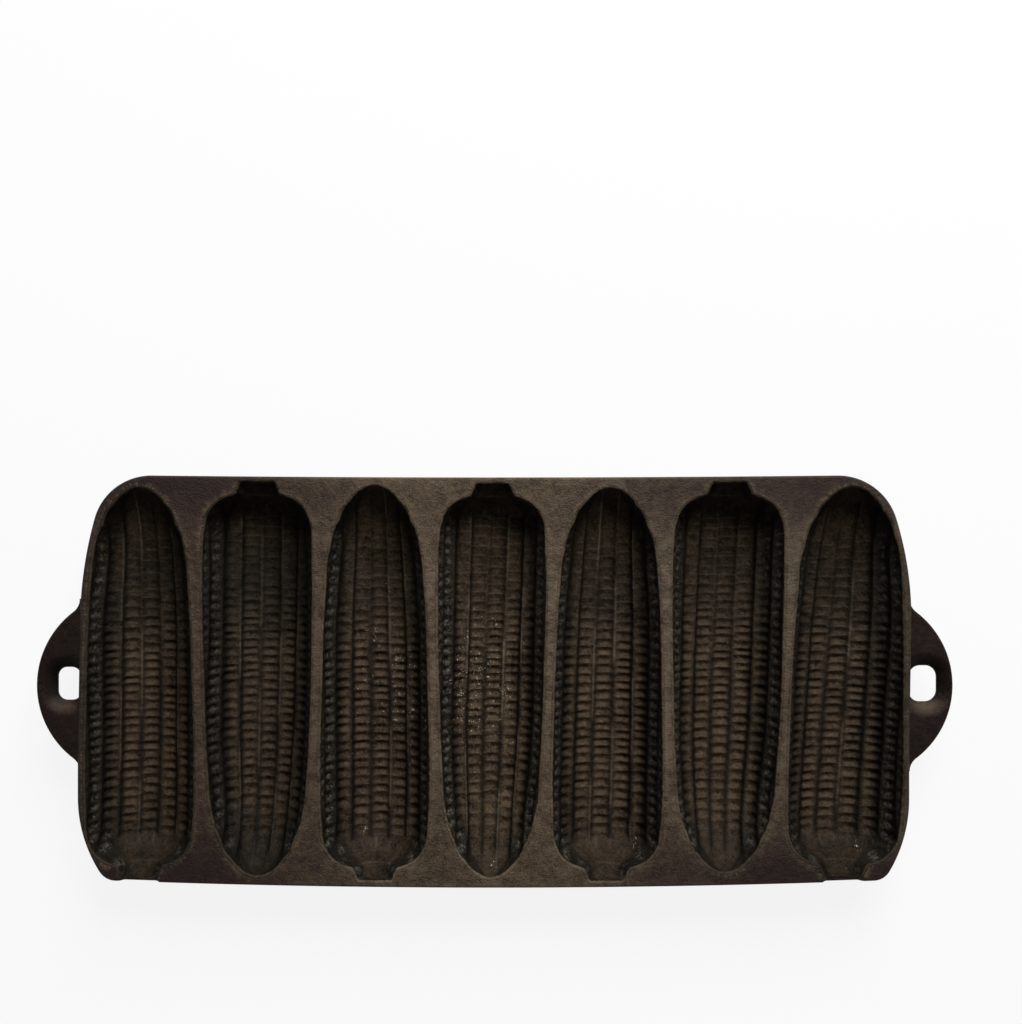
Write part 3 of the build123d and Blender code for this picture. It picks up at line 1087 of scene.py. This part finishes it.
# Lugs: a half-round ear at each end to lift the pan by or hang it up. The iron dips round the
# slot, where the pattern was rounded off, with shade painted on the dip's far side and a highlight
# on its near side. Smoother and darker than the deck, from handling, the left lug darker still.
lug_radius = 34.0
lug_reach = 15.85
lug_place = -1.5
lug_drop = 0.8
lug_height = deck_top - lug_drop
lug_thickness = 5.0
lug_root = 6.0
lug_round = 1.0
lug_foot_inset = 1.1
lug_seam = 2.0
lug_spacing = 1.1
lug_foot_spacing = 4.0
lug_waves = {"height": 0.05, "waves": 30, "shortest": 4, "longest": 14}
lug_wave_depth = 0.5
lug_seed = 90
slot_place = -1.3
slot_start = 0.5
slot_spacing = 0.5
slot_dish = 2.8
slot_dish_reach = 5.2
slot_dish_levels = (-3.0, -1.3)
slot_mouth = ((0.9, 0.0), (0.55, -0.08), (0.25, -0.3), (0.06, -0.7), (0.0, -1.2))
slot_foot = ((0.0, 0.5), (0.15, 0.15), (0.5, 0.0))
# Painted shade on the far side of the dip round each slot, and a painted highlight on its near side.
slot_shade = 0.85
slot_shade_run = (-6, 2)
slot_highlight = 0.65
slot_highlight_run = (5, 8.5)
left_slot = {"width": 8.6, "length": 12.2, "corner_radius": 3.4}
right_slot = {"width": 10.4, "length": 13.4, "corner_radius": 4.2}
# How much darker each lug is.
left_lug_darkening = 0.2
right_lug_darkening = 0.0
lug_iron = seasoned_iron(
    "lug_iron",
    low=colour(21, 15, 13),
    high=colour(45, 34, 30),
    rubbed_and_highlight=colour(98, 82, 66),
    darkened_colour=colour(5, 4, 3),
    rough=0.55,
    grain=0.3,
    gloss=1.2,
)


def lug_outline():
    """The right lug's outline, clockwise: root, round, the other root, and the seam in the deck."""
    middle = np.array((deck_end + lug_reach - lug_radius, lug_place))
    aside = deck_end + lug_root - middle[0]
    rise = math.sqrt((lug_radius + lug_root) ** 2 - aside**2)
    roots = [middle + (aside, rise), middle + (aside, -rise)]
    touches = [middle + (root - middle) * lug_radius / (lug_radius + lug_root) for root in roots]
    above, below = [root - (lug_root, 0) for root in roots]
    tip = middle + (lug_radius, 0)
    return np.vstack([
        [(deck_end - lug_seam, above[1])],
        arc(roots[0], above, touches[0], outline_spacing),
        arc(middle, touches[0], tip, outline_spacing),
        arc(middle, tip, touches[1], outline_spacing),
        arc(roots[1], touches[1], below, outline_spacing),
        [below, (deck_end - lug_seam, below[1])],
    ])


def slot_outline(width, length, corner_radius):
    """The right slot's outline, clockwise."""
    middle = np.array((deck_end + slot_start + width / 2, slot_place))
    points = []
    for side, rise in ((-1, 1), (1, 1), (1, -1), (-1, -1)):
        centre = middle + (side * (width / 2 - corner_radius), rise * (length / 2 - corner_radius))
        ends = [centre + (side * corner_radius, 0), centre + (0, rise * corner_radius)]
        first, last = ends if side * rise < 0 else ends[::-1]
        points += [*arc(centre, first, last, slot_spacing), last]
    return evenly(np.vstack([points, points[:1]]), slot_spacing)[:-1]


lug_section = edge_section(lug_round, lug_round, lug_thickness, lug_foot_inset)
slot_section = [*slot_mouth, *((inset, level - lug_thickness) for inset, level in slot_foot)]
for name, node, side, slot, darkening in (
    ("left_lug", "left_handle", -1, left_slot, left_lug_darkening),
    ("right_lug", "right_handle", 1, right_slot, right_lug_darkening),
):
    lug_loop = (lug_outline() * (side, 1))[::side]
    slot_loop = (slot_outline(**slot) * (side, 1))[::side]
    lug_rings = swept(lug_loop, loop_normals(lug_loop), lug_section, lug_height)
    slot_rings = swept(slot_loop, loop_normals(slot_loop), slot_section, lug_height)
    parts = [
        closed_sheet(lug_rings, -1),
        closed_sheet(slot_rings, 1),
        flat_face(lug_rings[0], [slot_rings[0]], lug_height, lug_spacing, 1),
        flat_face(lug_rings[-1], [slot_rings[-1]], lug_height - lug_thickness, lug_foot_spacing, -1),
    ]
    for points, _, held in parts:
        # Painted shade on the dip's far side and a painted highlight on its near side.
        near_slot = 1 - smooth_step(nearest(points, slot_loop)[0], 0, slot_dish_reach)
        past_slot = points[:, 1] - slot_place
        held["sunk"] = slot_shade * near_slot * smooth_step(past_slot, *slot_shade_run) + darkening
        held["worn"] = slot_highlight * near_slot * smooth_step(-past_slot, *slot_highlight_run)
        upper = smooth_step(points[:, 2] - lug_height, *slot_dish_levels)
        uneven = ripple(points, lug_seed, **lug_waves) * (points[:, 2] > lug_height - lug_wave_depth)
        points[:, 2] -= slot_dish * near_slot * upper + np.abs(uneven)
    lug = casting(name, parts, lug_iron)
    lug.data.set_sharp_from_angle(angle=math.radians(sharp_angle))
    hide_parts(node)

# Floor: a pale level sheet that runs out of view. The camera sees it nearly white, and the
# pan's shadow falls on the matt part of its paint.
floor_half = 3000
floor_grey = (0.85, 0.85, 0.85, 1.0)
floor_shown = 0.88
white = (1.0, 1.0, 1.0, 1.0)


def background(sheet):
    """1 for rays that show what is behind the pan, and 0 for those that light it."""
    rays = ("Is Camera Ray", "Is Glossy Ray", "Is Transmission Ray")
    seen, mirrored, through = (sheet.node("ShaderNodeLightPath", output=ray) for ray in rays)
    return seen + mirrored + through


floor_mesh = bpy.data.meshes.new("floor")
floor_edge = floor_half * mm
floor_corners = [(x * floor_edge, y * floor_edge, 0) for x, y in ((-1, -1), (1, -1), (1, 1), (-1, 1))]
floor_mesh.from_pydata(floor_corners, [], [(0, 1, 2, 3)])
floor_paint = bpy.data.materials.new("floor_paint")
floor_sheet = emptied(floor_paint)
matt = floor_sheet.node("ShaderNodeBsdfDiffuse", {}, {"Color": floor_grey})
shown = floor_sheet.node("ShaderNodeEmission", {}, {"Color": white, "Strength": 1.0})
floor_share = background(floor_sheet) * floor_shown
floor_sheet.node("ShaderNodeMixShader", {}, {0: floor_share, 1: matt, 2: shown}).surface()
floor_mesh.materials.append(floor_paint)
floor = placed("floor", floor_mesh)

# Light: one broad lamp above and beyond the pan, to its right, and a sky that is dim overhead
# and shows as white behind the pan.
lamp_place = (210, 920, 740)
lamp_size = 700
lamp_power = 19.0
ceiling = (0.07, 0.07, 0.07, 1.0)
horizon_run = (0.15, 0.45)

lamp_data = bpy.data.lights.new("lamp", "AREA")
lamp_data.size = lamp_size * mm
lamp_data.energy = lamp_power
lamp = placed("lamp", lamp_data)
lamp.location = [place * mm for place in lamp_place]
lamp.rotation_euler = (-lamp.location).to_track_quat("-Z", "Y").to_euler()

sky = bpy.data.worlds.new("sky")
bpy.context.scene.world = sky
sky_sheet = emptied(sky)
direction = sky_sheet.node("ShaderNodeTexCoord", output="Generated")
up = sky_sheet.node("ShaderNodeSeparateXYZ", {}, {"Vector": direction}, output="Z")
sky_colour = (background(sky_sheet) * (1.0 - up.rise(*horizon_run))).blend(ceiling, white)
sky_sheet.node("ShaderNodeBackground", {}, {"Color": sky_colour}).surface("ShaderNodeOutputWorld")

# Camera: straight above the pan, over a point beyond its middle and looking down, as the pan
# was photographed in the lower half of the frame.
camera_height = 440
camera_place = (6.0, 62.4)
view_across = 376.7

camera_data = bpy.data.cameras.new("camera")
camera_data.lens = camera_data.sensor_width * camera_height / view_across
camera = placed("camera", camera_data)
camera.location = [place * mm for place in (*camera_place, deck_top + camera_height)]
bpy.context.scene.camera = camera

bpy.context.scene.view_settings.view_transform = "Standard"
